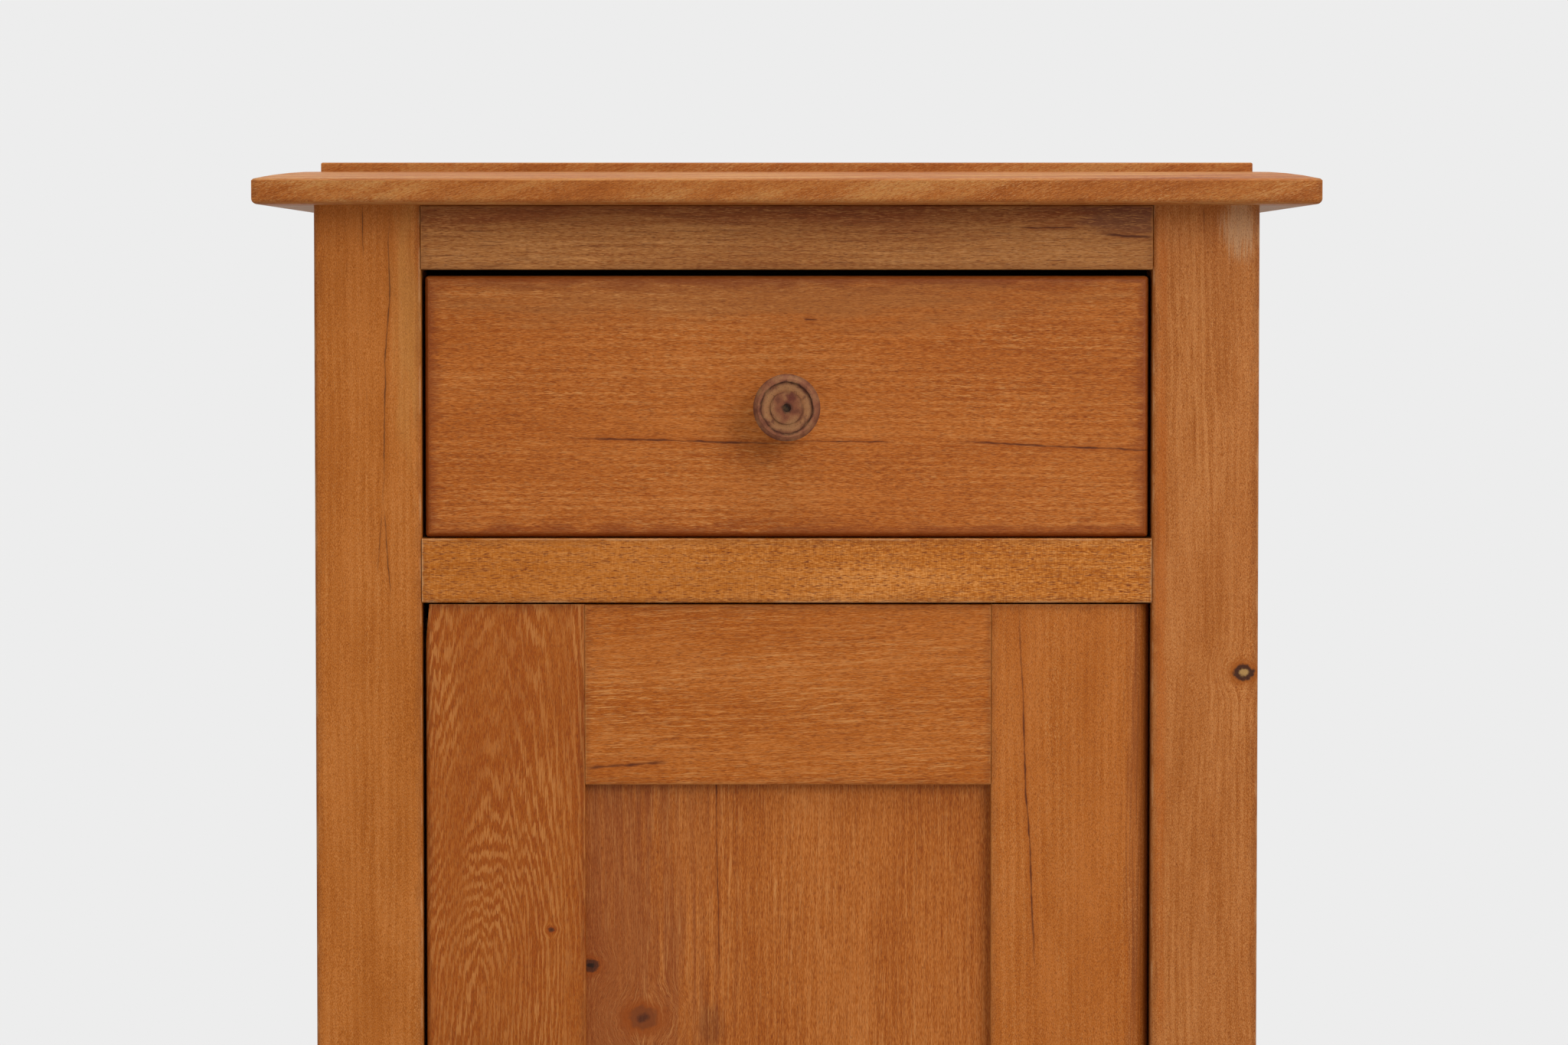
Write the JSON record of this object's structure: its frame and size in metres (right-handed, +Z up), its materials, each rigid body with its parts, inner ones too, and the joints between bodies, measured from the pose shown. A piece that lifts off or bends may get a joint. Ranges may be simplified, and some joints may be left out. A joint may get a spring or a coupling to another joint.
{
  "type": "nightstand",
  "caption": "Small elm bedside cabinet with a moulded top, a dovetailed drawer with a turned knob, and a framed, panelled door that swings on pivot pins behind a turn latch.",
  "frame": {"origin": "on the floor, under the middle of the top board", "axes": "+X to the cabinet's right seen from the front, +Y to its back, +Z up"},
  "size_m": [0.46, 0.345, 0.75],
  "materials": {
    "waxed_elm": "planed elm, oiled and waxed to a satin sheen, worn pale along the edges",
    "plain_softwood": "sawn and planed softwood, unfinished, darkened by age",
    "turned_knob_wood": "turned close-grained wood, dark and dusty in the hollows",
    "bare_iron": "drawn iron, dull and slightly rusted"
  },
  "bodies": {
    "carcass": {"top_board": "waxed_elm", "front_rail_top": "waxed_elm", "front_rail_middle": "waxed_elm", "front_rail_bottom": "waxed_elm", "front_post_left": "waxed_elm", "front_post_right": "waxed_elm", "rear_post_left": "waxed_elm", "rear_post_right": "waxed_elm", "side_rail_top_left": "waxed_elm", "side_rail_top_right": "waxed_elm", "side_rail_bottom_left": "waxed_elm", "side_rail_bottom_right": "waxed_elm", "side_panel_left": "waxed_elm", "side_panel_right": "waxed_elm", "rear_rail_top": "plain_softwood", "rear_rail_middle": "plain_softwood", "rear_rail_bottom": "plain_softwood", "back_board_left": "plain_softwood", "back_board_centre": "plain_softwood", "back_board_right": "plain_softwood", "floor_board": "plain_softwood", "drawer_stops": "plain_softwood", "door_stops": "plain_softwood", "floor_bearer_left": "plain_softwood", "floor_bearer_right": "plain_softwood", "drawer_runner_left": "plain_softwood", "drawer_runner_right": "plain_softwood", "drawer_guide_left": "plain_softwood", "drawer_guide_right": "plain_softwood", "drawer_kicker_left": "plain_softwood", "drawer_kicker_right": "plain_softwood", "door_pivot_pin_top": "bare_iron", "door_pivot_pin_bottom": "bare_iron", "door_pivot_washer": "bare_iron", "back_nails": "bare_iron"},
    "drawer": {"drawer_front": "waxed_elm", "drawer_side_left": "plain_softwood", "drawer_side_right": "plain_softwood", "drawer_back": "plain_softwood", "drawer_bottom": "plain_softwood", "drawer_knob": "turned_knob_wood"},
    "door": {"door_stile_left": "waxed_elm", "door_stile_right": "waxed_elm", "door_rail_top": "waxed_elm", "door_rail_bottom": "waxed_elm", "door_panel": "waxed_elm"},
    "latch": {"door_knob": "turned_knob_wood", "latch_arm": "plain_softwood", "latch_pin": "bare_iron"}
  },
  "joints": [
    {"name": "drawer_slide", "type": "slide", "parent": "carcass", "child": "drawer", "axis": [0, -1, 0], "range_m": [0, 0.23]},
    {"name": "door_swing", "type": "hinge", "parent": "carcass", "child": "door", "pos_m": [0.1486, -0.1355, 0.3396], "axis": [0, 0, 1], "range_deg": [0, 92]},
    {"name": "latch_turn", "type": "hinge", "parent": "door", "child": "latch", "pos_m": [-0.12275, -0.1355, 0.3396], "axis": [0, 1, 0], "range_deg": [0, 90]}
  ]
}
